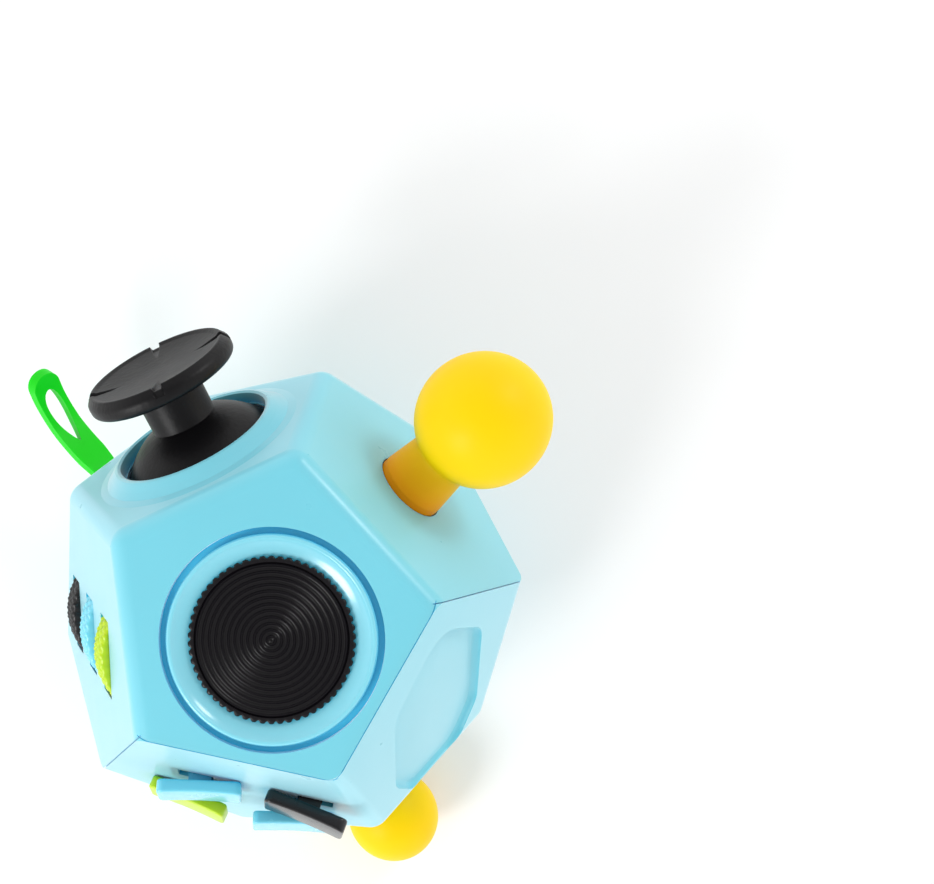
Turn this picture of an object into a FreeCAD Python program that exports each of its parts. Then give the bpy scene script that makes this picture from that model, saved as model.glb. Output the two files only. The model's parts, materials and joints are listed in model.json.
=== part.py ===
"""Twelve-sided fidget cube: two moulded half shells carrying a toy on each face.

Frame: +Z is the outward normal of the dial face, the origin is the centre of
the opposite face, on which the cube rests, and the stick face looks to +Y.
Sizes are millimetres. Every toy is drawn in its own face's frame, where z = 0
is the outside of the face, +z points out and +y points at a named neighbour.
"""
import FreeCAD
import Part
import Sketcher
import math
import os
import re

SIZES = [
    ("across_faces", 60.0, "flat to flat, dial face to resting face"),
    ("wall", 2.2, "shell wall"),
    ("edge_round", 3.0, "rounding of the edges inside one half shell"),
    ("seam_gap", 0.16, "open line between the half shells at the surface"),
    ("seam_depth", 0.8, "depth of that line"),
    ("rib_radius", 3.4, "locating ribs behind the seam"),
    ("rib_length", 9.0, "length of one locating rib"),
    ("screw_shank", 0.8, "self-tapping screw, shank radius"),
    ("screw_head", 1.5, "screw head radius"),
    ("screw_cap", 1.1, "screw head height"),
    ("screw_reach", 4.2, "shank length below the head"),
    ("post_radius", 2.0, "screw post radius"),
    ("post_root", 0.6, "how far a post runs into the wall"),
    ("dial_shift", 2.5, "dial centre below the face centre"),
    ("dial_groove", 14.9, "outer radius of the ring groove round the dial"),
    ("dial_seat", 1.2, "depth of the seat the bezel lies in"),
    ("cup_gap", 0.1, "gap round the bezel's cup"),
    ("bezel_radius", 14.05, "bezel flange radius"),
    ("bezel_bead", 0.35, "height of the bezel's bead over the face"),
    ("bezel_cup", 12.5, "outside radius of the bezel's cup"),
    ("bezel_bore", 11.4, "inside radius of the bezel's cup"),
    ("bezel_lip", 0.55, "depth of the dish at the bore"),
    ("bezel_floor", 4.2, "depth of the inside floor"),
    ("bezel_back", 5.4, "depth of the cup's back"),
    ("disc_radius", 11.1, "dial disc radius"),
    ("disc_top", 0.3, "disc top below the face"),
    ("disc_web", 1.8, "underside of the disc's web"),
    ("disc_skirt", 4.0, "bottom of the disc's skirt"),
    ("disc_inner", 9.7, "inside radius of the skirt"),
    ("spindle_radius", 2.0, "dial spindle"),
    ("spindle_hole", 2.05, "spindle bearing in the bezel"),
    ("spindle_end", 5.6, "depth of the spindle's end"),
    ("spindle_bore", 3.5, "depth of the screw hole in the spindle"),
    ("washer_radius", 4.0, "retaining washer radius"),
    ("washer_thick", 0.6, "retaining washer thickness"),
    ("stick_pivot", 8.9, "depth of the stick's pivot"),
    ("dome_radius", 14.15, "outside radius of the stick's dome"),
    ("dome_thick", 1.3, "dome wall"),
    ("dome_latitude", 22.0, "latitude of the dome's lower edge, degrees"),
    ("collar_base", 15.8, "collar radius at the face"),
    ("collar_rim", 12.1, "collar radius at its top"),
    ("collar_mouth", 11.7, "mouth of the collar"),
    ("collar_height", 1.9, "collar height"),
    ("socket_radius", 14.5, "clearance sphere round the dome"),
    ("stem_radius", 4.8, "stick stem radius"),
    ("stem_top", 10.05, "stem shoulder under the cap"),
    ("spigot_radius", 3.0, "spigot inside the cap"),
    ("spigot_top", 12.0, "top of the spigot"),
    ("boss_radius", 2.6, "boss under the dome"),
    ("boss_end", 11.2, "depth of the boss's end"),
    ("cap_radius", 11.2, "stick cap, widest radius"),
    ("cap_under", 10.5, "stick cap, underside radius"),
    ("cap_waist", 10.8, "height of the widest radius"),
    ("cap_top", 13.5, "cap rim height"),
    ("cap_rim", 10.2, "cap rim radius"),
    ("cap_dish", 12.8, "cap centre height"),
    ("notch_width", 0.5, "rim notch width"),
    ("notch_inner", 7.2, "inner end of a rim notch"),
    ("notch_floor", 12.7, "bottom of a rim notch"),
    ("gimbal_outer", 7.4, "gimbal ring outer radius"),
    ("gimbal_inner", 5.2, "gimbal ring inner radius"),
    ("gimbal_thick", 3.0, "gimbal ring thickness"),
    ("pin_radius", 0.8, "pivot pin radius"),
    ("pin_hole", 0.85, "running hole for a pivot pin"),
    ("trunnion_end", 11.0, "reach of the gimbal's trunnions"),
    ("plate_outer", 12.3, "gimbal plate outer radius"),
    ("flange_outer", 15.0, "outer radius of the plate's thin flange"),
    ("flange_top", 0.2, "flange top below the pivot"),
    ("plate_inner", 8.3, "gimbal plate inner radius"),
    ("plate_thick", 2.6, "gimbal plate thickness"),
    ("plate_post", 16.8, "radius of the plate's screw circle"),
    ("boot_foot", 9.2, "radius of the silicone centring boot's foot"),
    ("boot_top", 6.6, "radius of the boot's top"),
    ("boot_fold", 2.5, "height of the boot's first fold over the pivot"),
    ("boot_rise", 9.5, "height of the boot's top over the pivot"),
    ("boot_skin", 0.6, "boot wall"),
    ("wheel_radius", 11.0, "thumb wheel radius"),
    ("wheel_width", 3.9, "thumb wheel width"),
    ("wheel_show", 1.5, "how far a wheel stands out of the face"),
    ("wheel_pitch", 8.9, "wheel to wheel"),
    ("wheel_mid_x", -2.35, "middle wheel, along the axle"),
    ("wheel_y", -1.2, "axle offset on the face"),
    ("wheel_slot_gap", 0.2, "gap round a wheel in its slot"),
    ("hub_radius", 3.2, "wheel hub radius"),
    ("hub_dish", 1.2, "depth of the wheel's side dish"),
    ("rim_inner", 9.0, "inside radius of the wheel's rim"),
    ("axle_radius", 1.2, "wheel axle radius"),
    ("axle_hole", 1.25, "wheel bore"),
    ("bracket_thick", 0.9, "axle bracket plate"),
    ("bracket_foot", 3.4, "axle bracket foot width"),
    ("bracket_half", 4.0, "half the bracket's breadth"),
    ("bracket_drop", 12.0, "depth of the bracket's lower end"),
    ("peg_radius", 0.7, "staked peg holding a bracket"),
    ("peg_out", 2.2, "peg's distance from the bracket plate"),
    ("peg_side", 2.4, "peg's distance from the bracket's middle"),
    ("rocker_length", 12.0, "rocker cap length"),
    ("rocker_width", 6.4, "rocker cap width"),
    ("rocker_low", 1.15, "underside of the rocker cap"),
    ("rocker_high", 3.15, "top of the rocker cap"),
    ("blue_upper_x", -6.3, "place of the upper blue rocker's pin"),
    ("lime_x", -6.3, "place of the lime rocker's pin"),
    ("black_x", 11.3, "place of the black rocker's pin"),
    ("blue_lower_x", 7.6, "place of the lower blue rocker's pin"),
    ("rocker_pivot", 4.0, "depth of the rocker pins"),
    ("rocker_web", 3.4, "rocker web length"),
    ("rocker_web_thick", 2.6, "rocker web thickness"),
    ("rocker_web_end", 5.4, "depth of the web's end"),
    ("rocker_tilt", 10.0, "rest tilt of a rocker, degrees"),
    ("rocker_pitch", 8.2, "row to row"),
    ("rocker_row", 3.7, "upper row, y"),
    ("rocker_rail", 1.3, "frame rail thickness"),
    ("rocker_floor", 6.4, "depth of the frame's floor"),
    ("rocker_base", 7.6, "depth of the frame's back"),
    ("frame_left", -10.8, "left end of the rocker frame"),
    ("frame_right", 14.8, "right end of the rocker frame"),
    ("frame_side", 5.2, "frame's side from the middle of a row"),
    ("frame_gap", 0.1, "gap between the frame and the wall"),
    ("tab_thick", 1.5, "thickness of the frame's screw tabs"),
    ("tab_x", 2.0, "place of both tabs along the frame"),
    ("tab_upper", 11.2, "upper tab, y"),
    ("tab_lower", -12.0, "lower tab, y"),
    ("knuckle_radius", 5.2, "ball stalk knuckle radius"),
    ("knuckle_hole", 5.4, "hole for the knuckle"),
    ("neck_radius", 3.4, "neck behind the knuckle"),
    ("flange_radius", 6.6, "flange behind the wall"),
    ("flange_near", 5.6, "depth of the flange's near side"),
    ("flange_far", 7.4, "depth of the flange's far side"),
    ("ball_radius", 9.4, "upper ball radius"),
    ("ball_height", 14.6, "upper ball centre height"),
    ("ball_stalk", 4.5, "upper stalk radius at the ball"),
    ("low_ball_radius", 7.95, "lower ball radius"),
    ("low_ball_height", 18.2, "lower ball centre height"),
    ("low_ball_stalk", 4.2, "lower stalk radius at the ball"),
    ("loop_width", 5.2, "silicone loop, outside width"),
    ("loop_band", 2.2, "silicone loop, band thickness across its bend"),
    ("loop_gap", 3.0, "width of the loop's eye"),
    ("eye_length", 9.0, "length of the loop's eye"),
    ("eye_end", 1.8, "solid end of the loop beyond its eye"),
    ("barb_lip", 1.6, "how far the loop's barb stands out all round"),
    ("barb_top", 3.4, "depth of the barb's top"),
    ("barb_thick", 2.0, "barb thickness"),
    ("loop_mouth", 4.6, "radius of the loop's hole in the shell"),
    ("button_radius", 3.3, "click button radius"),
    ("button_hole", 3.45, "hole for a click button"),
    ("button_show", 1.9, "how far a button stands out"),
    ("button_circle", 7.2, "radius of the button circle"),
    ("button_flange", 4.4, "button flange radius"),
    ("button_rest", 2.25, "depth of the flange's top"),
    ("button_back", 3.2, "depth of the flange's underside"),
    ("button_plate", 6.0, "depth of the button plate's top"),
    ("button_plate_thick", 1.4, "button plate thickness"),
    ("button_plate_radius", 12.6, "button plate radius"),
    ("button_posts", 10.5, "radius of the button plate's screw circle"),
    ("button_shift", 1.6, "button group's shift away from the stick face"),
    ("snap_radius", 3.8, "foot radius of a button's silicone snap dome"),
    ("snap_rise", 2.15, "height of a snap dome"),
    ("slider_radius", 4.6, "slider puck radius"),
    ("slider_show", 1.6, "slider puck height"),
    ("slider_neck", 2.0, "slider neck radius"),
    ("slider_travel", 5.0, "slider travel each way"),
    ("roller_radius", 4.8, "steel roller ball radius"),
    ("roller_depth", 2.9, "depth of the roller ball's centre"),
    ("roller_gap", 0.06, "gap round the roller ball"),
    ("roller_cup", 6.4, "outside radius of the roller cup"),
    ("roller_cup_end", 9.0, "depth of the roller cup's end"),
    ("worry_apex", 16.8, "pointed end of the thumb recess, from the face centre"),
    ("worry_foot", 18.1, "broad end of the thumb recess, from the face centre"),
    ("worry_foot_half", 5.6, "half width of the recess at its broad end"),
    ("worry_wide", 10.3, "half width of the thumb recess"),
    ("worry_rise", 6.8, "height of the recess's shoulders"),
    ("worry_drop", 11.4, "where the recess's sides turn in to its foot"),
    ("worry_corner", 5.0, "rounding of the recess's corners"),
    ("worry_floor", 1.0, "rounding along the recess's floor"),
    ("worry_shift", 0.8, "shift of the recess towards the slider face"),
    ("worry_deep", 1.1, "depth of the thumb recess"),
]

doc = FreeCAD.newDocument("fidget_cube")
sheet = doc.addObject("Spreadsheet::Sheet", "sizes")
for row, (alias, number, note) in enumerate(SIZES, start=1):
    sheet.set("A%d" % row, note)
    sheet.set("B%d" % row, str(number))
    sheet.setAlias("B%d" % row, alias)
doc.recompute()


# ---------------------------------------------------------------- helpers
TERM = re.compile(r"([+-]?)\s*([A-Za-z_]\w*|\d+\.?\d*)(?:/(\d+))?")


def size(text):
    """Value of a sum of sheet aliases and numbers, such as 'wall+post/2'."""
    total = 0.0
    for sign, name, divisor in TERM.findall(text):
        number = float(name) if name[0].isdigit() else float(sheet.get(name))
        number /= float(divisor or 1)
        total += -number if sign == "-" else number
    return total


def linked(text):
    """The same sum as a document expression."""
    return re.sub(r"([A-Za-z_]\w*)", r"sizes.\1", text)


def bind(obj, **sums):
    """Tie the object's properties to the sheet."""
    for prop, text in sums.items():
        obj.setExpression(prop, linked(text))
    return obj


def vector(azimuth, elevation):
    a, e = math.radians(azimuth), math.radians(elevation)
    return FreeCAD.Vector(math.cos(a) * math.cos(e), math.sin(a) * math.cos(e), math.sin(e))


RING_TILT = math.degrees(math.atan(0.5))
NORMALS = {
    "dial": vector(0, 90),
    "stick": vector(90, RING_TILT),
    "ball": vector(18, RING_TILT),
    "worry": vector(-54, RING_TILT),
    "rocker": vector(-126, RING_TILT),
    "wheel": vector(162, RING_TILT),
    "low_ball": vector(-90, -RING_TILT),
    "roller": vector(-162, -RING_TILT),
    "loop": vector(126, -RING_TILT),
    "button": vector(54, -RING_TILT),
    "slider": vector(-18, -RING_TILT),
    "rest": vector(0, -90),
}
UPPER = ["stick", "dial", "ball", "button", "loop", "wheel"]
LOWER = ["low_ball", "worry", "rocker", "slider", "roller", "rest"]
CENTRE = FreeCAD.Vector(0, 0, size("across_faces/2"))


def facing(face, up, x=0.0, y=0.0, z=0.0):
    """Placement of a face's frame: z out of the face, y towards the face named up."""
    out = NORMALS[face]
    rise = NORMALS[up] - out * NORMALS[up].dot(out)
    rise.normalize()
    side = rise.cross(out)
    at = CENTRE + out * (size("across_faces/2") + z) + side * x + rise * y
    return FreeCAD.Placement(FreeCAD.Matrix(
        side.x, rise.x, out.x, at.x,
        side.y, rise.y, out.y, at.y,
        side.z, rise.z, out.z, at.z,
        0, 0, 0, 1))


def turned(axis, degrees, x=0.0, y=0.0, z=0.0):
    return FreeCAD.Placement(FreeCAD.Vector(x, y, z), FreeCAD.Rotation(FreeCAD.Vector(*axis), degrees))


def solid(kind, name, place, **sums):
    """A Part primitive tied to the sheet."""
    obj = doc.addObject("Part::" + kind, name)
    bind(obj, **sums)
    obj.Placement = place
    return obj


def joined(name, parts):
    obj = doc.addObject("Part::MultiFuse", name)
    obj.Shapes = parts
    return obj


def cut(name, base, tools):
    tool = tools[0] if len(tools) == 1 else joined(name + "_tools", tools)
    obj = doc.addObject("Part::Cut", name)
    obj.Base = base
    obj.Tool = tool
    return obj


def new_body(name, place):
    body = doc.addObject("PartDesign::Body", name)
    body.Placement = place
    return body


def new_sketch(body, role):
    plane = [f for f in body.Origin.OriginFeatures if f.Role == role][0]
    sketch = body.newObject("Sketcher::SketchObject", body.Name + "_sketch")
    sketch.AttachmentSupport = [(plane, "")]
    sketch.MapMode = "FlatFace"
    return sketch


def pin_point(sketch, geo, pos, ends):
    """Hold a sketch point at the sheet's x and y."""
    for kind, axis, text in (("DistanceX", -2, ends[0]), ("DistanceY", -1, ends[1])):
        if text == "0":
            sketch.addConstraint(Sketcher.Constraint("PointOnObject", geo, pos, axis))
        else:
            index = sketch.addConstraint(
                Sketcher.Constraint(kind, -1, 1, geo, pos, size(text)))
            sketch.setExpression("Constraints[%d]" % index, linked(text))


def outline(sketch, points):
    """Closed outline through points given as pairs of sums."""
    at = [FreeCAD.Vector(size(x), size(y), 0) for x, y in points]
    count = len(points)
    first = sketch.GeometryCount
    for i in range(count):
        sketch.addGeometry(Part.LineSegment(at[i], at[(i + 1) % count]), False)
    for i in range(count):
        sketch.addConstraint(
            Sketcher.Constraint("Coincident", first + i, 2, first + (i + 1) % count, 1))
        pin_point(sketch, first + i, 1, points[i])


def disc(sketch, x, y, radius):
    centre = FreeCAD.Vector(size(x), size(y), 0)
    geo = sketch.addGeometry(Part.Circle(centre, FreeCAD.Vector(0, 0, 1), size(radius)), False)
    pin_point(sketch, geo, 3, (x, y))
    index = sketch.addConstraint(Sketcher.Constraint("Radius", geo, size(radius)))
    sketch.setExpression("Constraints[%d]" % index, linked(radius))


def box_outline(x0, x1, y0, y1):
    return [(x0, y0), (x1, y0), (x1, y1), (x0, y1)]


def revolve(body, points):
    sketch = new_sketch(body, "XZ_Plane")
    outline(sketch, points)
    feature = body.newObject("PartDesign::Revolution", body.Name + "_turn")
    feature.Profile = sketch
    feature.ReferenceAxis = (sketch, ["V_Axis"])
    feature.Angle = 360
    return feature


def pad(body, role, points, length, midplane=False, rounds=()):
    sketch = new_sketch(body, role)
    if points:
        outline(sketch, points)
    for x, y, radius in rounds:
        disc(sketch, x, y, radius)
    feature = body.newObject("PartDesign::Pad", body.Name + "_pad")
    feature.Profile = sketch
    feature.setExpression("Length", linked(length))
    feature.Midplane = midplane
    return feature


def drill(body, role, rounds=(), points=None):
    """Through cut on both sides of the plane."""
    sketch = new_sketch(body, role)
    if points:
        outline(sketch, points)
    for x, y, radius in rounds:
        disc(sketch, x, y, radius)
    feature = body.newObject("PartDesign::Pocket", body.Name + "_cut")
    feature.Profile = sketch
    feature.Type = 1
    feature.Midplane = True
    return feature


def soften(body, name, wanted, radius):
    """Fillet of every edge of the body's tip, in its own frame, that passes the test."""
    doc.recompute()
    tip = body.Tip
    picks = ["Edge%d" % n for n, edge in enumerate(tip.Shape.Edges, start=1) if wanted(edge)]
    fillet = body.newObject("PartDesign::Fillet", name)
    fillet.Base = (tip, picks)
    bind(fillet, Radius=radius)
    return fillet


def cylinder(name, place, radius, height):
    return solid("Cylinder", name, place, Radius=radius, Height=height)


nodes = []


def keep(label, obj):
    obj.Label = label
    nodes.append(obj)
    return obj


# ---------------------------------------------------------------- half shells
def corners(face, inradius):
    """Corners of one pentagon, in order round its normal."""
    out = NORMALS[face]
    near = [n for n in NORMALS.values() if abs(n.dot(out) - 1 / math.sqrt(5)) < 1e-6]
    side = (near[0] - out * near[0].dot(out)).normalize()
    rise = out.cross(side)
    near.sort(key=lambda n: math.atan2(n.dot(rise), n.dot(side)))
    spread = inradius / (1 + 2 / math.sqrt(5))
    return [CENTRE + (out + near[i] + near[(i + 1) % 5]) * spread for i in range(5)]


def pentagon_face(face, inradius):
    ring = corners(face, inradius)
    return Part.Face(Part.makePolygon(ring + ring[:1]))


def hedron(name, inradius):
    faces = [pentagon_face(face, inradius) for face in NORMALS]
    obj = doc.addObject("Part::Feature", name)
    obj.Shape = Part.makeSolid(Part.makeShell(faces))
    return obj


def wedge(name, faces, inradius):
    """Cone from the centre over six faces, which cuts one half out of the whole."""
    skin = [pentagon_face(face, inradius) for face in faces]
    seen = {}
    for face in skin:
        for edge in face.Edges:
            middle = edge.CenterOfMass
            key = (round(middle.x, 3), round(middle.y, 3), round(middle.z, 3))
            seen.setdefault(key, []).append(edge)
    for edges in seen.values():
        if len(edges) == 1:
            a, b = [v.Point for v in edges[0].Vertexes]
            skin.append(Part.Face(Part.makePolygon([a, b, CENTRE, a])))
    obj = doc.addObject("Part::Feature", name)
    obj.Shape = Part.makeSolid(Part.makeShell(skin))
    return obj


def inner_edges():
    """Pairs of adjoining faces that belong to the same half shell."""
    names = list(NORMALS)
    pairs = []
    for i, one in enumerate(names):
        for two in names[i + 1:]:
            adjoining = abs(NORMALS[one].dot(NORMALS[two]) - 1 / math.sqrt(5)) < 1e-6
            if adjoining and (one in UPPER) == (two in UPPER):
                pairs.append((one, two))
    return pairs


def edge_middle(one, two, inradius):
    direction = NORMALS[one] + NORMALS[two]
    return CENTRE + direction * (inradius / (1 + 1 / math.sqrt(5)))


half = size("across_faces/2")
whole = hedron("whole_body", half)
hollow = hedron("hollow", half - size("wall"))
rounded = doc.addObject("Part::Fillet", "rounded_body")
rounded.Base = whole
picked = []
for one, two in inner_edges():
    middle = edge_middle(one, two, half)
    for index, edge in enumerate(whole.Shape.Edges, start=1):
        if (edge.CenterOfMass - middle).Length < 0.01:
            picked.append((index, size("edge_round"), size("edge_round")))
rounded.Edges = picked
skin = cut("rounded_skin", rounded, [hollow])


def half_skin(name, faces):
    obj = doc.addObject("Part::MultiCommon", name)
    obj.Shapes = [skin, wedge(name + "_wedge", faces, 1.4 * half)]
    return obj


# Ribs behind four of the seam edges, part of the lower shell.
RIB_EDGES = (("ball", "slider"), ("button", "rest"), ("loop", "rest"), ("ball", "worry"))
ribs = []
for one, two in RIB_EDGES:
    middle = edge_middle(one, two, half - size("wall"))
    along = NORMALS[one].cross(NORMALS[two]).normalize()
    turn = FreeCAD.Rotation(FreeCAD.Vector(0, 0, 1), along)
    start = middle - along * size("rib_length/2")
    ribs.append(cylinder("seam_rib", FreeCAD.Placement(start, turn), "rib_radius", "rib_length"))
rib_rods = joined("rib_rods", ribs)
rib_set = doc.addObject("Part::MultiCommon", "rib_set")
rib_set.Shapes = [rib_rods, hollow]

# Fine open line along the seam, cut half from each shell.
seam_slits = []
for one in UPPER:
    for two in LOWER:
        if abs(NORMALS[one].dot(NORMALS[two]) - 1 / math.sqrt(5)) < 1e-6:
            out = (NORMALS[one] + NORMALS[two]).normalize()
            along = NORMALS[one].cross(NORMALS[two]).normalize()
            across = out.cross(along)
            middle = edge_middle(one, two, half)
            corner_at = (middle - along * size("across_faces/4") - across * size("seam_gap/2")
                         - out * size("seam_depth"))
            seam_slits.append(solid("Box", "seam_slit", FreeCAD.Placement(FreeCAD.Matrix(
                along.x, across.x, out.x, corner_at.x,
                along.y, across.y, out.y, corner_at.y,
                along.z, across.z, out.z, corner_at.z,
                0, 0, 0, 1)), Length="across_faces/2", Width="seam_gap",
                Height="seam_depth+1"))
seam_line = joined("seam_line", seam_slits)
screws = []


def screw_at(face, up, x, y, seat):
    """Screw with its head inside the cube, driven outwards into a post."""
    back = facing(face, up, x, y, -seat - size("screw_cap"))
    shank = cylinder("shank", back, "screw_shank", "screw_cap+screw_reach")
    screws.append(joined("screw", [shank, cylinder("head", back, "screw_head", "screw_cap")]))


def post_at(face, up, x, y, depth):
    """Post from the wall down to a depth; its pilot hole is cut later."""
    post = solid("Cylinder", "post", facing(face, up, x, y, -depth), Radius="post_radius")
    post.Height = depth - size("wall-post_root")
    return post


def pilot_at(face, up, x, y, depth):
    hole = solid("Cylinder", "pilot", facing(face, up, x, y, -depth - 0.01), Radius="screw_shank")
    hole.Height = size("screw_reach") + 0.01
    return hole


upper_adds, upper_cuts, lower_adds, lower_cuts = [], [seam_line], [rib_set], [seam_line]

# ---------------------------------------------------------------- dial face
DIAL = facing("dial", "stick", y=-size("dial_shift"))


def dial_place(depth):
    return facing("dial", "stick", 0, -size("dial_shift"), -depth)


upper_cuts.append(cylinder("dial_seat_cut", dial_place(size("dial_seat")), "dial_groove", "wall"))
upper_cuts.append(cylinder("dial_hole", dial_place(size("bezel_back+post_root")),
                           "bezel_cup+cup_gap", "across_faces/4"))

bezel = new_body("dial_bezel", DIAL)
revolve(bezel, [
    ("spindle_hole", "-bezel_floor"), ("bezel_bore", "-bezel_floor"),
    ("bezel_bore", "-bezel_lip"), ("bezel_cup", "0"),
    ("bezel_radius-0.9", "bezel_bead"), ("bezel_radius-0.3", "bezel_bead"),
    ("bezel_radius", "0"), ("bezel_radius", "-dial_seat"),
    ("bezel_cup", "-dial_seat"), ("bezel_cup", "-bezel_back"),
    ("spindle_hole", "-bezel_back")])
keep("dial_bezel", bezel)

dial = new_body("dial_disc", DIAL)
revolve(dial, [
    ("0", "-disc_top"), ("disc_radius-0.4", "-disc_top"), ("disc_radius", "-disc_top-0.4"),
    ("disc_radius", "-disc_skirt"), ("disc_inner", "-disc_skirt"), ("disc_inner", "-disc_web"),
    ("spindle_radius", "-disc_web"), ("spindle_radius", "-spindle_end"),
    ("screw_shank", "-spindle_end"), ("screw_shank", "-spindle_end+spindle_bore"),
    ("0", "-spindle_end+spindle_bore")])
keep("dial_disc", dial)

washer = new_body("dial_washer", DIAL)
revolve(washer, [
    ("screw_shank", "-spindle_end"), ("washer_radius", "-spindle_end"),
    ("washer_radius", "-spindle_end-washer_thick"),
    ("screw_shank", "-spindle_end-washer_thick")])
keep("dial_washer", washer)

dial_screw = new_body("dial_screw", DIAL)
revolve(dial_screw, [
    ("0", "-spindle_end+spindle_bore-0.3"), ("screw_shank", "-spindle_end+spindle_bore-0.3"),
    ("screw_shank", "-spindle_end-washer_thick"), ("screw_head", "-spindle_end-washer_thick"),
    ("screw_head", "-spindle_end-washer_thick-screw_cap"),
    ("0", "-spindle_end-washer_thick-screw_cap")])
keep("dial_screw", dial_screw)

# ---------------------------------------------------------------- stick face
STICK = facing("stick", "dial")
PIVOT = facing("stick", "dial", z=-size("stick_pivot"))

collar = new_body("stick_collar", STICK)
revolve(collar, [
    ("collar_mouth", "-1"), ("collar_base", "-1"), ("collar_base", "0"),
    ("collar_base-1.2", "collar_height/8"), ("collar_base-2.2", "collar_height/2"),
    ("collar_rim+0.8", "collar_height-0.4"), ("collar_rim+0.4", "collar_height-0.1"),
    ("collar_rim", "collar_height"), ("collar_mouth", "collar_height-0.2")])
upper_adds.append(collar)
upper_cuts.append(solid("Sphere", "dome_socket", PIVOT, Radius="socket_radius"))
POST_ANGLES = (54, 198, 342)
for degrees in POST_ANGLES:
    x = size("plate_post") * math.cos(math.radians(degrees))
    y = size("plate_post") * math.sin(math.radians(degrees))
    top = size("stick_pivot+flange_top")
    upper_adds.append(post_at("stick", "dial", x, y, top))
    upper_cuts.append(pilot_at("stick", "dial", x, y, top))
    screw_at("stick", "dial", x, y, size("stick_pivot+plate_thick/2"))

outer_dome = solid("Sphere", "outer_dome", PIVOT, Radius="dome_radius", Angle1="dome_latitude")
inner_dome = solid("Sphere", "inner_dome", PIVOT, Radius="dome_radius-dome_thick")
dome_skin = cut("dome_skin", outer_dome, [inner_dome])
stem = new_body("stick_stem", STICK)
revolve(stem, [
    ("0", "-boss_end"), ("boss_radius", "-boss_end"),
    ("boss_radius", "dome_radius-stick_pivot-dome_thick"),
    ("stem_radius", "dome_radius-stick_pivot-dome_thick"),
    ("stem_radius", "stem_top"), ("spigot_radius", "stem_top"),
    ("spigot_radius", "spigot_top"), ("0", "spigot_top")])
stick_solid = joined("stick_solid", [dome_skin, stem])
across = facing("stick", "dial", z=-size("stick_pivot")).multiply(
    turned((0, 1, 0), 90, x=-size("gimbal_outer")))
pin_bore = cylinder("stick_pin_bore", across, "pin_radius", "gimbal_outer+gimbal_outer")
keep("stick_dome", cut("stick_dome", stick_solid, [pin_bore]))
keep("stick_cross_pin",
     cylinder("stick_cross_pin", across, "pin_radius", "gimbal_outer+gimbal_outer"))

cap = new_body("stick_cap", STICK)
revolve(cap, [
    ("0", "spigot_top"), ("spigot_radius", "spigot_top"), ("spigot_radius", "stem_top"),
    ("cap_under", "stem_top"), ("cap_radius", "cap_waist"), ("cap_rim+0.5", "cap_top-0.5"),
    ("cap_rim", "cap_top"), ("cap_rim-1.2", "cap_top-0.2"), ("0", "cap_dish")])
slot_sketch = new_sketch(cap, "XZ_Plane")
outline(slot_sketch, box_outline("notch_inner", "cap_radius+0.5", "notch_floor", "cap_top+0.5"))
slot = cap.newObject("PartDesign::Pocket", "rim_notch")
slot.Profile = slot_sketch
slot.setExpression("Length", linked("notch_width"))
slot.Midplane = True
spread = cap.newObject("PartDesign::PolarPattern", "rim_notches")
spread.Originals = [slot]
spread.Axis = (slot_sketch, ["V_Axis"])
spread.Angle = 360
spread.Occurrences = 4
cap.Tip = spread
keep("stick_cap", cap)

gimbal = new_body("gimbal_ring", PIVOT)
pad(gimbal, "XY_Plane", None, "gimbal_thick", midplane=True,
    rounds=[("0", "0", "gimbal_outer"), ("0", "0", "gimbal_inner")])
drill(gimbal, "YZ_Plane", rounds=[("0", "0", "pin_hole")])
trunnions = []
for turn in (90, -90):
    place = PIVOT.multiply(turned((1, 0, 0), turn)).multiply(
        FreeCAD.Placement(FreeCAD.Vector(0, 0, size("gimbal_outer-1")), FreeCAD.Rotation()))
    trunnions.append(cylinder("trunnion", place, "pin_radius", "trunnion_end-gimbal_outer+1"))
keep("stick_gimbal", joined("stick_gimbal", [gimbal] + trunnions))

plate = new_body("stick_plate_ring", PIVOT)
revolve(plate, [
    ("plate_inner", "-plate_thick/2"), ("flange_outer", "-plate_thick/2"),
    ("flange_outer", "-flange_top"), ("plate_outer", "-flange_top"),
    ("plate_outer", "plate_thick/2"), ("plate_inner", "plate_thick/2")])
ears, ear_holes = [], []
for degrees in POST_ANGLES:
    spot = FreeCAD.Vector(size("plate_post"), 0, -size("plate_thick/2"))
    place = PIVOT.multiply(turned((0, 0, 1), degrees)).multiply(
        FreeCAD.Placement(spot, FreeCAD.Rotation()))
    ears.append(cylinder("plate_ear", place, "post_radius+0.4", "plate_thick/2-flange_top"))
    ear_holes.append(cylinder("ear_hole", place, "screw_shank", "plate_thick"))
through = PIVOT.multiply(turned((1, 0, 0), 90)).multiply(
    FreeCAD.Placement(FreeCAD.Vector(0, 0, -size("trunnion_end+0.2")), FreeCAD.Rotation()))
trunnion_bore = cylinder("trunnion_bore", through, "pin_hole",
                         "trunnion_end+trunnion_end+0.4")
stick_plate = cut("stick_plate", joined("plate_and_ears", [plate] + ears),
                  ear_holes + [trunnion_bore])
keep("stick_plate", stick_plate)

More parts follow.
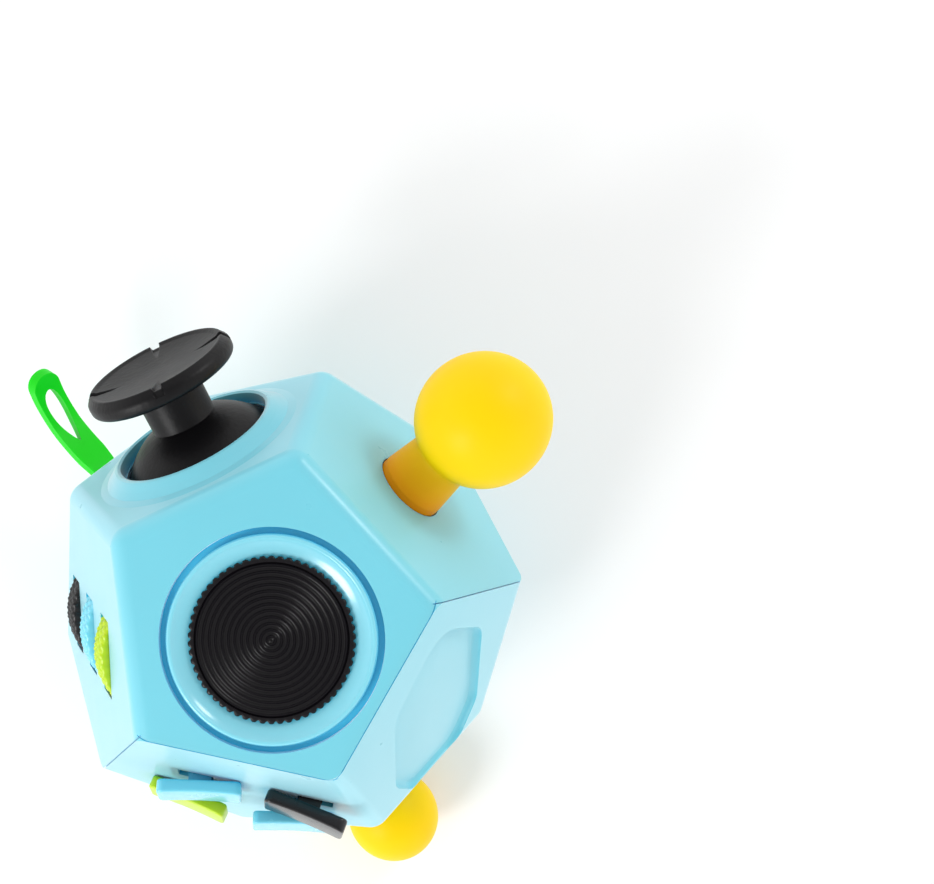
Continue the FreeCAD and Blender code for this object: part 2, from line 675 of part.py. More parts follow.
boot = new_body("stick_boot", PIVOT)
revolve(boot, [
    ("boot_foot-boot_skin", "plate_thick/2"), ("boot_foot+0.8", "plate_thick/2"),
    ("boot_foot+0.8", "plate_thick/2+boot_skin"), ("boot_foot-boot_skin", "boot_fold"),
    ("boot_foot+0.4", "boot_fold+1.2"), ("boot_top+1.2", "boot_fold+2.6"),
    ("boot_top+2.0", "boot_fold+4"), ("boot_top", "boot_rise-1.2"),
    ("boot_top", "boot_rise"), ("boot_top-boot_skin", "boot_rise"),
    ("boot_top-boot_skin", "boot_rise-1.4"), ("boot_top+1.2", "boot_fold+4"),
    ("boot_top+0.4", "boot_fold+2.6"), ("boot_foot-0.4", "boot_fold+1.2"),
    ("boot_foot-1.3", "boot_fold")])
keep("stick_boot", boot)

# ---------------------------------------------------------------- wheel face
AXLE_DEPTH = size("wheel_radius-wheel_show")
WHEELS = (("wheel_black", -1), ("wheel_blue", 0), ("wheel_lime", 1))


def on_axle(x):
    """Frame on the axle with its z along the axle."""
    return facing("wheel", "stick", x, size("wheel_y"), -AXLE_DEPTH).multiply(
        turned((0, 1, 0), 90))


for label, step in WHEELS:
    x = size("wheel_mid_x") + step * size("wheel_pitch")
    wheel = new_body(label, on_axle(x))
    revolve(wheel, [
        ("axle_hole", "-wheel_width/2"), ("hub_radius", "-wheel_width/2"),
        ("hub_radius", "-wheel_width/2+hub_dish"), ("rim_inner", "-wheel_width/2+hub_dish"),
        ("rim_inner", "-wheel_width/2"), ("wheel_radius-0.5", "-wheel_width/2"),
        ("wheel_radius", "-wheel_width/2+0.5"), ("wheel_radius", "wheel_width/2-0.5"),
        ("wheel_radius-0.5", "wheel_width/2"), ("rim_inner", "wheel_width/2"),
        ("rim_inner", "wheel_width/2-hub_dish"), ("hub_radius", "wheel_width/2-hub_dish"),
        ("hub_radius", "wheel_width/2"), ("axle_hole", "wheel_width/2")])
    keep(label, wheel)
    upper_cuts.append(cylinder(
        "wheel_slot", on_axle(x - size("wheel_width/2+wheel_slot_gap")),
        "wheel_radius+wheel_slot_gap", "wheel_width+wheel_slot_gap+wheel_slot_gap"))

first_x = size("wheel_mid_x-wheel_pitch-wheel_width/2") - 0.4
last_x = size("wheel_mid_x+wheel_pitch+wheel_width/2") + 0.4
axle = cylinder("wheel_axle", on_axle(first_x - size("bracket_thick")), "axle_radius",
                "wheel_pitch+wheel_pitch+wheel_width+bracket_thick+bracket_thick+0.8")
keep("wheel_axle", axle)
spacers = []
for step in (-1, 0):
    x = size("wheel_mid_x") + step * size("wheel_pitch") + size("wheel_width/2") + 0.05
    tube = new_body("spacer_%d" % (step + 2), on_axle(x))
    revolve(tube, [
        ("axle_radius", "0"), ("axle_radius+0.9", "0"),
        ("axle_radius+0.9", "wheel_pitch-wheel_width-0.1"),
        ("axle_radius", "wheel_pitch-wheel_width-0.1")])
    spacers.append(tube)
spacer_set = doc.addObject("Part::Compound", "wheel_spacers")
spacer_set.Links = spacers
keep("wheel_spacers", spacer_set)

brackets = []
for x, turn in ((first_x, 180), (last_x, 0)):
    place = facing("wheel", "stick", x, size("wheel_y"), 0).multiply(turned((0, 0, 1), turn))
    bracket = new_body("axle_bracket", place)
    pad(bracket, "XZ_Plane", [
        ("0", "-wall"), ("bracket_foot", "-wall"), ("bracket_foot", "-wall-bracket_thick"),
        ("bracket_thick", "-wall-bracket_thick"), ("bracket_thick", "-bracket_drop"),
        ("0", "-bracket_drop")], "bracket_half+bracket_half", midplane=True)
    drill(bracket, "YZ_Plane", rounds=[("0", "-wheel_radius+wheel_show", "axle_radius")])
    drill(bracket, "XY_Plane", rounds=[("peg_out", "peg_side", "peg_radius"),
                                       ("peg_out", "-peg_side", "peg_radius")])
    brackets.append(bracket)
    for side in (1, -1):
        spot = FreeCAD.Vector(size("peg_out"), side * size("peg_side"), 0)
        for depth, radius in (("wall+bracket_thick", "peg_radius"),
                              ("wall+bracket_thick+0.6", "peg_radius+0.4")):
            at = FreeCAD.Placement(spot - FreeCAD.Vector(0, 0, size(depth)), FreeCAD.Rotation())
            length = "bracket_thick+0.6" if radius == "peg_radius" else "0.6"
            upper_adds.append(cylinder("bracket_peg", place.multiply(at), radius, length))
bracket_set = doc.addObject("Part::Compound", "wheel_brackets")
bracket_set.Links = brackets
keep("wheel_brackets", bracket_set)

# ---------------------------------------------------------------- rocker face
ROCKERS = (("rocker_blue_upper", "blue_upper_x", 0, 1), ("rocker_lime", "lime_x", 1, -1),
           ("rocker_black", "black_x", 0, -1), ("rocker_blue_lower", "blue_lower_x", 1, 1))
pins = []
for label, place_x, row, lean in ROCKERS:
    x = size(place_x)
    y = size("rocker_row") - row * size("rocker_pitch")
    seat = facing("rocker", "dial", x, y, -size("rocker_pivot"))
    body = new_body(label, seat.multiply(turned((0, 1, 0), lean * size("rocker_tilt"))))
    pad(body, "XZ_Plane", box_outline(
        "-rocker_length/2", "rocker_length/2", "rocker_pivot+rocker_low",
        "rocker_pivot+rocker_high"), "rocker_width", midplane=True)
    pad(body, "XZ_Plane", [
        ("-rocker_web/2", "rocker_pivot-rocker_web_end"),
        ("rocker_web/2", "rocker_pivot-rocker_web_end"),
        ("rocker_web/2", "rocker_pivot+rocker_low+0.2"),
        ("-rocker_web/2", "rocker_pivot+rocker_low+0.2")], "rocker_web_thick", midplane=True)
    drill(body, "XZ_Plane", rounds=[("0", "0", "pin_hole")])
    keep(label, body)
    rod = seat.multiply(turned((1, 0, 0), 90, y=size("rocker_pitch/2")))
    pins.append(cylinder("rocker_pin", rod, "pin_radius", "rocker_pitch"))
    slot = solid("Box", "rocker_slot", facing(
        "rocker", "dial", x - size("rocker_web/2") - 0.9, y - size("rocker_web_thick/2") - 0.3,
        -size("wall") - 1), Length="rocker_web+1.8", Width="rocker_web_thick+0.6", Height="wall+2")
    lower_cuts.append(slot)
pin_set = doc.addObject("Part::Compound", "rocker_pins")
pin_set.Links = pins
keep("rocker_pins", pin_set)

frame = new_body("rocker_frame_body", facing("rocker", "dial"))
pad(frame, "XY_Plane", box_outline("frame_left", "frame_right",
                                   "rocker_row-rocker_pitch-frame_side",
                                   "rocker_row+frame_side"), "rocker_base-wall-frame_gap")
frame.Placement = facing("rocker", "dial", z=-size("rocker_base"))
hollows = []
for row in (0, 1):
    low = size("rocker_row") - row * size("rocker_pitch") - size("rocker_pitch-rocker_rail") / 2
    hollows.append(solid("Box", "frame_hollow", facing(
        "rocker", "dial", size("frame_left+rocker_rail"), low, -size("rocker_floor")),
        Length="frame_right-frame_left-rocker_rail-rocker_rail",
        Width="rocker_pitch-rocker_rail", Height="rocker_floor"))
bores = [cylinder("rocker_pin_bore", rod.Placement, "pin_radius", "rocker_pitch") for rod in pins]
tabs = []
for row_y in ("tab_upper", "tab_lower"):
    x, y = size("tab_x"), size(row_y)
    tab_place = facing("rocker", "dial", x, y, -size("rocker_base"))
    tabs.append(cylinder("frame_tab", tab_place, "post_radius+0.5", "tab_thick"))
    bores.append(cylinder("tab_hole", tab_place, "screw_shank", "tab_thick+0.5"))
    depth = size("rocker_base-tab_thick")
    lower_adds.append(post_at("rocker", "dial", x, y, depth))
    lower_cuts.append(pilot_at("rocker", "dial", x, y, depth))
    screw_at("rocker", "dial", x, y, size("rocker_base"))
keep("rocker_frame", cut("rocker_frame", joined("frame_and_tabs", [frame] + tabs),
                         hollows + bores))


# ---------------------------------------------------------------- silicone balls
def ball_piece(label, face, up, radius, height, stalk):
    """Ball on a stalk, held by a flange behind the wall."""
    parts = [solid("Sphere", "ball", facing(face, up, z=size(height)), Radius=radius)]
    parts.append(solid("Cone", "stalk", facing(face, up), Radius1="knuckle_radius",
                       Radius2=stalk, Height=height))
    parts.append(solid("Sphere", "knuckle", facing(face, up), Radius="knuckle_radius"))
    parts.append(cylinder("neck", facing(face, up, z=-size("flange_near")),
                          "neck_radius", "flange_near"))
    parts.append(cylinder("flange", facing(face, up, z=-size("flange_far")),
                          "flange_radius", "flange_far-flange_near"))
    keep(label, joined(label, parts))
    return cylinder("ball_hole", facing(face, up, z=-size("wall+1")), "knuckle_hole", "wall+3")


upper_cuts.append(ball_piece("upper_ball", "ball", "stick", "ball_radius", "ball_height",
                             "ball_stalk"))
lower_cuts.append(ball_piece("lower_ball", "low_ball", "rest", "low_ball_radius",
                             "low_ball_height", "low_ball_stalk"))

# ---------------------------------------------------------------- silicone loop
# Side view in the loop's own XZ plane: it leaves the face and bends towards the stick.
LOOP = facing("loop", "stick").multiply(turned((0, 0, 1), 90))
MIDLINE = [(0.0, -3.6), (0.5, 2.0), (3.0, 6.2), (6.8, 10.8), (9.6, 15.4), (12.4, 18.6),
           (16.2, 20.8), (19.4, 21.6), (22.0, 21.6)]


def offset_line(points, shift):
    """The midline moved sideways by shift."""
    moved = []
    for i, (x, z) in enumerate(points):
        before, after = points[max(i - 1, 0)], points[min(i + 1, len(points) - 1)]
        dx, dz = after[0] - before[0], after[1] - before[1]
        length = math.hypot(dx, dz)
        moved.append((x + shift * dz / length, z - shift * dx / length))
    return moved


loop = new_body("pull_loop_strap", LOOP)
near_side = offset_line(MIDLINE, size("loop_band/2"))
far_side = offset_line(MIDLINE, -size("loop_band/2"))
strap_sketch = new_sketch(loop, "XZ_Plane")
ring = [FreeCAD.Vector(x, z, 0) for x, z in near_side + far_side[::-1]]
for i, start in enumerate(ring):
    strap_sketch.addGeometry(Part.LineSegment(start, ring[(i + 1) % len(ring)]), False)
for i in range(len(ring)):
    strap_sketch.addConstraint(
        Sketcher.Constraint("Coincident", i, 2, (i + 1) % len(ring), 1))
strap = loop.newObject("PartDesign::Pad", "strap")
strap.Profile = strap_sketch
strap.setExpression("Length", linked("loop_width"))
strap.Midplane = True
tip = FreeCAD.Vector(MIDLINE[-1][0], 0, MIDLINE[-1][1])
root = FreeCAD.Vector(MIDLINE[4][0], 0, MIDLINE[4][1])
inward = (root - tip).normalize()
lean = math.degrees(math.atan2(-inward.x, -inward.z))
eye_low = tip + inward * size("eye_end+eye_length")
through = size("loop_width")
opening = solid("Box", "loop_opening", LOOP.multiply(
    turned((0, 1, 0), lean, *eye_low)).multiply(FreeCAD.Placement(
        FreeCAD.Vector(-through, -size("loop_gap/2"), 0), FreeCAD.Rotation())),
    Length="loop_width+loop_width", Width="loop_gap", Height="eye_length")
barb = solid("Box", "loop_barb", LOOP.multiply(FreeCAD.Placement(
    FreeCAD.Vector(-size("loop_band/2+barb_lip"), -size("loop_width/2+barb_lip"),
                   -size("barb_top+barb_thick")),
    FreeCAD.Rotation())), Length="loop_band+barb_lip+barb_lip",
    Width="loop_width+barb_lip+barb_lip", Height="barb_thick")
keep("pull_loop", cut("pull_loop", joined("strap_and_barb", [loop, barb]), [opening]))
upper_cuts.append(solid("Cone", "loop_mouth", facing("loop", "stick", z=-size("wall+0.5")),
                        Radius1="loop_mouth-0.9", Radius2="loop_mouth+0.4", Height="wall+1.5"))

# ---------------------------------------------------------------- click buttons
BUTTONS = "button", "stick"
for index in range(3):
    angle = math.radians(90 + 120 * index)
    x = size("button_circle") * math.cos(angle)
    y = size("button_circle") * math.sin(angle) - size("button_shift")
    button = new_body("click_button_%d" % (index + 1), facing(*BUTTONS, x, y))
    revolve(button, [
        ("0", "-button_back"), ("1.2", "-button_back"), ("1.2", "-button_back-0.6"),
        ("1.6", "-button_back-0.6"), ("1.6", "-button_back"), ("button_flange", "-button_back"),
        ("button_flange", "-button_rest"), ("button_radius", "-button_rest"),
        ("button_radius", "button_show-0.7"), ("button_radius-0.8", "button_show-0.1"),
        ("1.2", "button_show"), ("0", "button_show")])
    keep(button.Name, button)
    upper_cuts.append(cylinder("button_hole", facing(*BUTTONS, x, y, -3), "button_hole", "5"))
    snap = new_body("button_dome_%d" % (index + 1), facing(*BUTTONS, x, y, -size("button_plate")))
    revolve(snap, [
        ("0", "snap_rise"), ("snap_radius-1.8", "snap_rise"), ("snap_radius-1.4", "snap_rise-0.4"),
        ("snap_radius-0.6", "0.5"), ("snap_radius", "0.4"), ("snap_radius", "0"),
        ("snap_radius-0.9", "0"), ("snap_radius-1.9", "snap_rise-0.6"), ("0", "snap_rise-0.6")])
    keep(snap.Name, snap)

backing = new_body("button_backing", facing(
    *BUTTONS, 0, -size("button_shift"), -size("button_plate+button_plate_thick")))
pad(backing, "XY_Plane", None, "button_plate_thick",
    rounds=[("0", "0", "button_plate_radius"), ("0", "0", "2.5")])
holes = []
for degrees in (30, 150, 270):
    x = size("button_posts") * math.cos(math.radians(degrees))
    y = size("button_posts") * math.sin(math.radians(degrees)) - size("button_shift")
    low = size("button_plate+button_plate_thick")
    holes.append(cylinder("plate_hole", facing(*BUTTONS, x, y, -low), "screw_shank",
                          "button_plate_thick"))
    upper_adds.append(post_at(*BUTTONS, x, y, size("button_plate")))
    upper_cuts.append(pilot_at(*BUTTONS, x, y, size("button_plate")))
    screw_at(*BUTTONS, x, y, low)
keep("button_plate", cut("button_plate", backing, holes))

# ---------------------------------------------------------------- slider
puck = new_body("slider_puck", facing("slider", "rest"))
revolve(puck, [
    ("0", "-0.5"), ("screw_shank", "-0.5"), ("screw_shank", "-wall-0.1"),
    ("slider_neck", "-wall-0.1"), ("slider_neck", "0.1"),
    ("slider_radius", "0.1"), ("slider_radius", "slider_show-0.4"),
    ("slider_radius-0.4", "slider_show"), ("slider_radius-1.6", "slider_show-0.5"),
    ("0", "slider_show-0.7")])
keep("slider_puck", puck)
keeper = new_body("slider_keeper", facing("slider", "rest", z=-size("wall+0.1")))
pad(keeper, "XY_Plane", None, "1.5", rounds=[("0", "0", "4.4")])
keeper.Placement = facing("slider", "rest", z=-size("wall") - 1.6)
drill(keeper, "XY_Plane", rounds=[("0", "0", "screw_shank")])
keep("slider_keeper", keeper)
slider_screw = new_body("slider_screw", facing("slider", "rest"))
revolve(slider_screw, [
    ("0", "-0.6"), ("screw_shank", "-0.6"), ("screw_shank", "-wall-1.6"),
    ("screw_head", "-wall-1.6"), ("screw_head", "-wall-1.6-screw_cap"),
    ("0", "-wall-1.6-screw_cap")])
keep("slider_screw", slider_screw)
slider_slot = new_body("slider_slot", facing("slider", "rest", z=-size("wall") - 1))
pad(slider_slot, "XY_Plane", box_outline("-slider_travel-slider_neck", "slider_travel+slider_neck",
                                         "-slider_neck-0.15", "slider_neck+0.15"), "wall+2")
lower_cuts.append(slider_slot)

# ---------------------------------------------------------------- roller ball
ROLLER = facing("roller", "rest", z=-size("roller_depth"))
keep("roller_ball", solid("Sphere", "roller_ball", ROLLER, Radius="roller_radius"))
race = solid("Sphere", "roller_race", ROLLER, Radius="roller_radius+roller_gap")
cup = cylinder("roller_cup_blank", facing("roller", "rest", z=-size("roller_cup_end")),
               "roller_cup", "roller_cup_end-wall")
cup_race = solid("Sphere", "cup_race", ROLLER, Radius="roller_radius+roller_gap")
keep("roller_cup", cut("roller_cup", cup, [cup_race]))
lower_cuts.append(race)

# ---------------------------------------------------------------- thumb recess
thumb = new_body("thumb_recess", facing("worry", "low_ball", -size("worry_shift"), 0,
                                       -size("worry_deep")))
pad(thumb, "XY_Plane", [
    ("0", "-worry_apex"), ("worry_wide", "-worry_rise"), ("worry_wide", "worry_drop"),
    ("worry_foot_half", "worry_foot"), ("-worry_foot_half", "worry_foot"),
    ("-worry_wide", "worry_drop"), ("-worry_wide", "-worry_rise")], "worry_deep+2")
soften(thumb, "recess_corners", lambda edge: abs(edge.BoundBox.ZLength) > 1, "worry_corner")
soften(thumb, "recess_floor", lambda edge: edge.BoundBox.ZMax < 0.01, "worry_floor")
lower_cuts.append(thumb)

# ---------------------------------------------------------------- assemble
upper = joined("upper_solid", [half_skin("upper_half", UPPER)] + upper_adds)
keep("upper_shell", cut("upper_shell", upper, upper_cuts))
lower = joined("lower_solid", [half_skin("lower_half", LOWER)] + lower_adds)
keep("lower_shell", cut("lower_shell", lower, lower_cuts))
screw_set = doc.addObject("Part::Compound", "small_screws")
screw_set.Links = screws
keep("small_screws", screw_set)
doc.recompute()

# ---------------------------------------------------------------- check and export
for obj in doc.Objects:
    bad = [word for word in obj.State if word in ("Invalid", "Error")]
    if bad:
        raise RuntimeError("%s is %s" % (obj.Name, bad))
os.makedirs("parts", exist_ok=True)
for obj in nodes:
    shape = obj.Shape
    if shape.isNull() or not shape.isValid() or shape.Volume <= 0:
        raise RuntimeError("%s has no valid shape" % obj.Label)
    shape.exportStep("parts/%s.step" % obj.Label)
    print("%-18s %9.1f mm3  solids %d" % (obj.Label, shape.Volume, len(shape.Solids)))
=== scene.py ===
import json
import math

import bmesh
import bpy
from mathutils import Matrix, Vector


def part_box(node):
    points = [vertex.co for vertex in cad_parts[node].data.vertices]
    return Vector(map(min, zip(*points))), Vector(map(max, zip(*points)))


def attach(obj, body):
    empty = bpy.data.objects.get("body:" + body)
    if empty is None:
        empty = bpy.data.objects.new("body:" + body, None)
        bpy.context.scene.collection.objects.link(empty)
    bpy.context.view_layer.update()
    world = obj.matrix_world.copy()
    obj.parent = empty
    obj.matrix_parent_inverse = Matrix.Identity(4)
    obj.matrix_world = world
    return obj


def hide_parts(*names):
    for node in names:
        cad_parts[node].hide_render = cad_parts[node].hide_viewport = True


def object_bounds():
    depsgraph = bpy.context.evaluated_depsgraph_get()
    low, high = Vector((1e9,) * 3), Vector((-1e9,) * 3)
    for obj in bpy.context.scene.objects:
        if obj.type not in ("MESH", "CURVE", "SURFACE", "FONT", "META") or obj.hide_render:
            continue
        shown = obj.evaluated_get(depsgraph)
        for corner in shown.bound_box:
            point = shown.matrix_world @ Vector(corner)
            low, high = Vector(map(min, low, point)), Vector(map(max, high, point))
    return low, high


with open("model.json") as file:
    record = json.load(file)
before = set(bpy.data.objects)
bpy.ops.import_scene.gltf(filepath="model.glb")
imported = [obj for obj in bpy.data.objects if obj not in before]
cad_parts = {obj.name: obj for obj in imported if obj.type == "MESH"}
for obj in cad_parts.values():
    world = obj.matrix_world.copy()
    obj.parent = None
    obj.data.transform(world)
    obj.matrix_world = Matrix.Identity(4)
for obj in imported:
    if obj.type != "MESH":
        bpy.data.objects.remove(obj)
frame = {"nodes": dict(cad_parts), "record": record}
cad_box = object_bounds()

MM = 0.001
nodes = frame["nodes"]

# ---------------------------------------------------------------- frame of each face
# The body is a regular dodecahedron that rests on one face with the dial on top.
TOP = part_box("upper_shell")[1].z
HALF = TOP / 2
CENTRE = Vector((0, 0, HALF))
RING_TILT = math.atan(0.5)


def direction(azimuth, tilt):
    """Unit vector at an azimuth in degrees and a height angle in radians."""
    a = math.radians(azimuth)
    return Vector((math.cos(a) * math.cos(tilt), math.sin(a) * math.cos(tilt), math.sin(tilt)))


# Outward direction of each face, named after what it carries.
NORMALS = {
    "dial": Vector((0, 0, 1)),
    "stick": direction(90, RING_TILT),
    "ball": direction(18, RING_TILT),
    "worry": direction(-54, RING_TILT),
    "rocker": direction(-126, RING_TILT),
    "wheel": direction(162, RING_TILT),
    "low_ball": direction(-90, -RING_TILT),
    "roller": direction(-162, -RING_TILT),
    "loop": direction(126, -RING_TILT),
    "button": direction(54, -RING_TILT),
    "slider": direction(-18, -RING_TILT),
    "rest": Vector((0, 0, -1)),
}


def facing(face, up, x=0.0, y=0.0, z=0.0):
    """Frame of a face: z out of it, y towards the face named up. Offsets in mm."""
    out = NORMALS[face]
    rise = (NORMALS[up] - out * NORMALS[up].dot(out)).normalized()
    side = rise.cross(out)
    at = CENTRE + out * (HALF + z * MM) + side * x * MM + rise * y * MM
    return Matrix.Translation(at) @ Matrix((side, rise, out)).transposed().to_4x4()


def turned(axis, degrees):
    return Matrix.Rotation(math.radians(degrees), 4, axis)


# ---------------------------------------------------------------- materials
def srgb(r, g, b):
    """Linear colour of a screen colour given from 0 to 255."""
    def channel(v):
        v /= 255
        return v / 12.92 if v <= 0.04045 else ((v + 0.055) / 1.055) ** 2.4
    return channel(r), channel(g), channel(b), 1.0


def material(name, colour, rough, bump=0.1, grain=900.0, vary=0.05, rough_vary=0.06,
             coat=0.0, subsurface=0.0, metallic=0.0, specular=0.5, sheen=0.0, crevice_shade=None,
             reach=0.0015, root_shade=None):
    """Moulded surface: fine grain bump, uneven gloss and a slight change of colour.

    The crevice colour is painted shade: ambient occlusion mixes it into gaps and creases
    within reach. The root colour is painted shade where a stalk leaves the body.
    """
    mat = bpy.data.materials.new(name)
    mat.use_nodes = True
    tree = mat.node_tree
    shader = tree.nodes["Principled BSDF"]
    shader.inputs["Metallic"].default_value = metallic
    shader.inputs["Specular IOR Level"].default_value = specular
    shader.inputs["Coat Weight"].default_value = coat
    shader.inputs["Coat Roughness"].default_value = 0.12
    shader.inputs["Sheen Weight"].default_value = sheen
    shader.inputs["Sheen Roughness"].default_value = 0.4
    if subsurface:
        shader.inputs["Subsurface Weight"].default_value = subsurface
        shader.inputs["Subsurface Radius"].default_value = (0.6, 1.0, 1.0)
        shader.inputs["Subsurface Scale"].default_value = 0.003
    place = tree.nodes.new("ShaderNodeTexCoord")

    def noise(scale, detail):
        """Cloudy pattern fixed to the object."""
        node = tree.nodes.new("ShaderNodeTexNoise")
        node.inputs["Scale"].default_value = scale
        node.inputs["Detail"].default_value = detail
        tree.links.new(place.outputs["Object"], node.inputs["Vector"])
        return node.outputs["Fac"]

    def spread(source, low, high):
        """A pattern's range taken to low and high."""
        node = tree.nodes.new("ShaderNodeMapRange")
        node.inputs["To Min"].default_value = low
        node.inputs["To Max"].default_value = high
        tree.links.new(source, node.inputs["Value"])
        return node.outputs["Result"]

    broad = noise(35.0, 2.0)
    fine = noise(grain, 3.0)
    tint = tree.nodes.new("ShaderNodeHueSaturation")
    tint.inputs["Color"].default_value = colour
    tree.links.new(spread(broad, 1 - vary, 1 + vary), tint.inputs["Value"])
    colour_out = tint.outputs["Color"]
    if root_shade:
        # Painted shade: the root colour near the body, fading out from 2 to 8.5 mm beyond the
        # faces.
        away = tree.nodes.new("ShaderNodeVectorMath")
        away.operation = "DISTANCE"
        away.inputs[1].default_value = CENTRE
        tree.links.new(place.outputs["Object"], away.inputs[0])
        rise = tree.nodes.new("ShaderNodeMapRange")
        rise.inputs["From Min"].default_value = HALF + 0.002
        rise.inputs["From Max"].default_value = HALF + 0.0085
        tree.links.new(away.outputs["Value"], rise.inputs["Value"])
        fade = tree.nodes.new("ShaderNodeMix")
        fade.data_type = "RGBA"
        fade.inputs["A"].default_value = root_shade
        tree.links.new(rise.outputs["Result"], fade.inputs["Factor"])
        tree.links.new(colour_out, fade.inputs["B"])
        colour_out = fade.outputs["Result"]
    if crevice_shade:
        # Painted shade: ambient occlusion mixes the crevice colour into gaps and creases.
        shade_occlusion = tree.nodes.new("ShaderNodeAmbientOcclusion")
        shade_occlusion.inputs["Distance"].default_value = reach
        shade_occlusion.samples = 8
        blend = tree.nodes.new("ShaderNodeMix")
        blend.data_type = "RGBA"
        blend.inputs["A"].default_value = crevice_shade
        ramp = tree.nodes.new("ShaderNodeMapRange")
        ramp.inputs["From Min"].default_value = 0.3
        ramp.inputs["From Max"].default_value = 0.85
        tree.links.new(shade_occlusion.outputs["AO"], ramp.inputs["Value"])
        tree.links.new(ramp.outputs["Result"], blend.inputs["Factor"])
        tree.links.new(colour_out, blend.inputs["B"])
        colour_out = blend.outputs["Result"]
    tree.links.new(colour_out, shader.inputs["Base Color"])
    patches = noise(220.0, 4.0)
    tree.links.new(spread(patches, rough - rough_vary, rough + rough_vary),
                   shader.inputs["Roughness"])
    relief = tree.nodes.new("ShaderNodeBump")
    relief.inputs["Strength"].default_value = bump
    relief.inputs["Distance"].default_value = 0.00008
    tree.links.new(fine, relief.inputs["Height"])
    tree.links.new(relief.outputs["Normal"], shader.inputs["Normal"])
    return mat


# The crevice colours below are painted shade in gaps and creases; the yellow's root colour is
# painted shade where the stalks leave the body.
BODY = material("body_cyan", srgb(116, 203, 220), 0.3, bump=0.06, subsurface=0.15,
                sheen=0.75, crevice_shade=srgb(58, 204, 240))
BEZEL = material("bezel_cyan", srgb(126, 208, 226), 0.22, bump=0.04, coat=0.4,
                 subsurface=0.15, crevice_shade=srgb(70, 204, 240))
BLACK = material("stick_black", srgb(12, 11, 13), 0.42, bump=0.5, grain=1500.0,
                 specular=0.2)
BLACK_GLOSS = material("gloss_black", srgb(13, 14, 17), 0.26, bump=0.15, grain=1500.0,
                       coat=0.3, specular=0.3)
BLACK_FINE = material("dial_black", srgb(14, 12, 16), 0.3, bump=0.2, grain=2200.0,
                      specular=0.26)
BLACK_GRIP = material("grip_black", srgb(9, 8, 10), 0.38, bump=0.4, grain=2600.0,
                      specular=0.4)
PALE = material("pale_blue", srgb(116, 205, 228), 0.26, bump=0.05, coat=0.3, subsurface=0.2,
                crevice_shade=srgb(50, 175, 215))
WHEEL_BLUE = material("wheel_blue", srgb(120, 208, 230), 0.3, bump=0.05, subsurface=0.3)
LIME = material("lime", srgb(184, 214, 14), 0.34, bump=0.08, subsurface=0.15,
                crevice_shade=srgb(120, 176, 0))
YELLOW = material("silicone_yellow", srgb(250, 206, 0), 0.46, bump=0.1, grain=1300.0,
                  subsurface=0.1, specular=0.15, vary=0.03, crevice_shade=srgb(228, 130, 0),
                  reach=0.004, root_shade=srgb(250, 165, 0))
GREEN = material("silicone_green", srgb(0, 208, 0), 0.46, bump=0.1, grain=1300.0,
                 subsurface=0.1, specular=0.25, vary=0.04, crevice_shade=srgb(0, 180, 0),
                 reach=0.002)
NYLON = material("nylon", srgb(226, 226, 220), 0.5, bump=0.15)
SOFT_CLEAR = material("silicone_pale", srgb(226, 230, 230), 0.45, bump=0.1, subsurface=0.3)
STEEL = material("plated_steel", srgb(186, 188, 192), 0.3, bump=0.15, metallic=1.0)
POLISHED = material("polished_steel", srgb(214, 215, 218), 0.12, bump=0.02, metallic=1.0,
                    rough_vary=0.04)
# Record slot of each plastic that several pieces share.
SLOT_OF = {"grip_black": "black_abs", "gloss_black": "black_abs", "stick_black": "black_abs",
           "pale_blue": "blue_abs", "wheel_blue": "blue_abs", "lime": "lime_abs"}


# ---------------------------------------------------------------- mesh tools
def finished(name, bm, place, mat, smooth=35.0):
    """Mesh object in the row frame from a bmesh drawn in mm in a local frame."""
    bmesh.ops.recalc_face_normals(bm, faces=bm.faces)
    mesh = bpy.data.meshes.new(name)
    bm.to_mesh(mesh)
    bm.free()
    mesh.transform(place @ Matrix.Scale(MM, 4))
    obj = bpy.data.objects.new(name, mesh)
    bpy.context.scene.collection.objects.link(obj)
    mesh.materials.append(mat)
    mesh.polygons.foreach_set("use_smooth", [True] * len(mesh.polygons))
    mesh.set_sharp_from_angle(angle=math.radians(smooth))
    return obj


def lathe(name, profile, place, mat, steps=128, shape=None, smooth=35.0):
    """Turned piece. profile is (radius, height) pairs; shape(r, z, angle) may move a point."""
    bm = bmesh.new()
    rings = []
    for r, z in profile:
        if r < 1e-6:
            rings.append([bm.verts.new((0, 0, z))])
            continue
        ring = []
        for i in range(steps):
            a = 2 * math.pi * i / steps
            rr, zz = shape(r, z, a) if shape else (r, z)
            ring.append(bm.verts.new((rr * math.cos(a), rr * math.sin(a), zz)))
        rings.append(ring)
    closed = profile[0][0] > 1e-6
    pairs = list(zip(rings, rings[1:] + rings[:1])) if closed else list(zip(rings, rings[1:]))
    for one, two in pairs:
        for i in range(steps):
            j = (i + 1) % steps
            if len(one) == 1 and len(two) == 1:
                continue
            if len(one) == 1:
                bm.faces.new((one[0], two[i], two[j]))
            elif len(two) == 1:
                bm.faces.new((one[i], two[0], one[j]))
            else:
                bm.faces.new((one[i], two[i], two[j], one[j]))
    return finished(name, bm, place, mat, smooth)


def arc(cr, cz, radius, start, end, count=12):
    """Points of an arc in a profile, angles in degrees from the outward radius."""
    angles = [math.radians(a) for a in even_steps(start, end, count)]
    return [(cr + radius * math.cos(a), cz + radius * math.sin(a)) for a in angles]


def even_steps(start, stop, count):
    """Numbers evenly from start to stop, with both ends."""
    return [start + (stop - start) * i / count for i in range(count + 1)]


